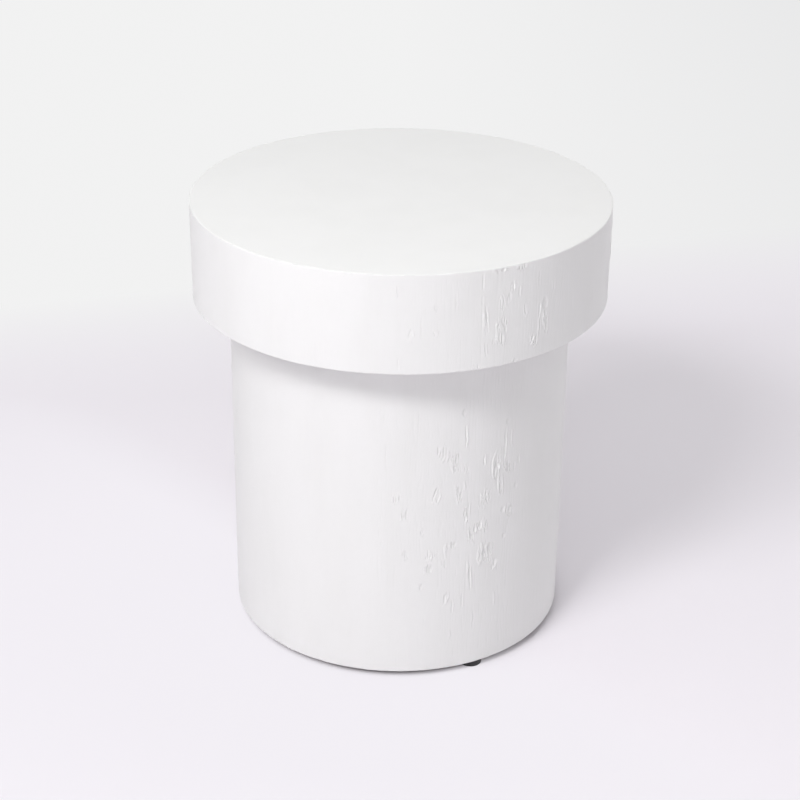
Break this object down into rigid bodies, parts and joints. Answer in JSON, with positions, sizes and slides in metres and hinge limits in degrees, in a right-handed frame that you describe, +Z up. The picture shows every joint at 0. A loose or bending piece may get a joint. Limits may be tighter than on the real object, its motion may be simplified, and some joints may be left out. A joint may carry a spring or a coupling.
{
  "type": "accent table",
  "caption": "Round accent table with a thick disc top on a plain drum base, white painted over upright wood grain, on levelling feet.",
  "frame": {"origin": "on the floor, on the table's axis, under the middle of the base", "axes": "+Z up; -Y is the side that the picture's camera faces, +X to its right"},
  "size_m": [0.45, 0.45, 0.491],
  "materials": {
    "white_paint": "satin white paint on smooth board",
    "white_grain": "white paint over open, torn upright grain",
    "plywood": "bare birch plywood",
    "pine": "bare planed softwood",
    "zinc_steel": "zinc plated",
    "brass_insert": "turned",
    "black_pad": "moulded black"
  },
  "bodies": {
    "table": {"top_panel": "white_paint", "lower_panel": "white_paint", "rim_veneer_front": "white_grain", "rim_veneer_right": "white_grain", "rim_veneer_back": "white_grain", "base_veneer_front": "white_grain", "base_veneer_right": "white_grain", "base_veneer_back": "white_grain", "rim_hoop": "plywood", "base_shell": "plywood", "base_top_plate": "plywood", "base_bottom_plate": "plywood", "cross_batten_long": "pine", "cross_batten_over": "pine", "base_batten_1": "pine", "base_batten_2": "pine", "base_batten_3": "pine", "top_plate_screws": "zinc_steel", "bottom_plate_screws": "zinc_steel", "joining_bolts": "zinc_steel", "joining_washers": "zinc_steel", "joining_inserts": "brass_insert", "foot_inserts": "brass_insert"},
    "pad_1": {"foot_pad_1": "black_pad"},
    "stud_1": {"foot_stud_1": "zinc_steel"},
    "pad_2": {"foot_pad_2": "black_pad"},
    "stud_2": {"foot_stud_2": "zinc_steel"},
    "pad_3": {"foot_pad_3": "black_pad"},
    "stud_3": {"foot_stud_3": "zinc_steel"}
  },
  "joints": [
    {"name": "foot_1_rise", "type": "slide", "parent": "table", "child": "pad_1", "axis": [0, 0, -1], "range_m": [0, 0.008]},
    {"name": "foot_1_turn", "type": "hinge", "parent": "pad_1", "child": "stud_1", "pos_m": [0.08212, -0.14999, 0], "axis": [0, 0, -1], "range_deg": [0, 2304]},
    {"name": "foot_2_rise", "type": "slide", "parent": "table", "child": "pad_2", "axis": [0, 0, -1], "range_m": [0, 0.008]},
    {"name": "foot_2_turn", "type": "hinge", "parent": "pad_2", "child": "stud_2", "pos_m": [0.08884, 0.14611, 0], "axis": [0, 0, -1], "range_deg": [0, 2304]},
    {"name": "foot_3_rise", "type": "slide", "parent": "table", "child": "pad_3", "axis": [0, 0, -1], "range_m": [0, 0.008]},
    {"name": "foot_3_turn", "type": "hinge", "parent": "pad_3", "child": "stud_3", "pos_m": [-0.17096, 0.00388, 0], "axis": [0, 0, -1], "range_deg": [0, 2304]}
  ],
  "couplings": [
    {"joint": "foot_1_turn", "follows": "foot_1_rise", "rad_per_m": 5026.5},
    {"joint": "foot_2_turn", "follows": "foot_2_rise", "rad_per_m": 5026.5},
    {"joint": "foot_3_turn", "follows": "foot_3_rise", "rad_per_m": 5026.5}
  ]
}
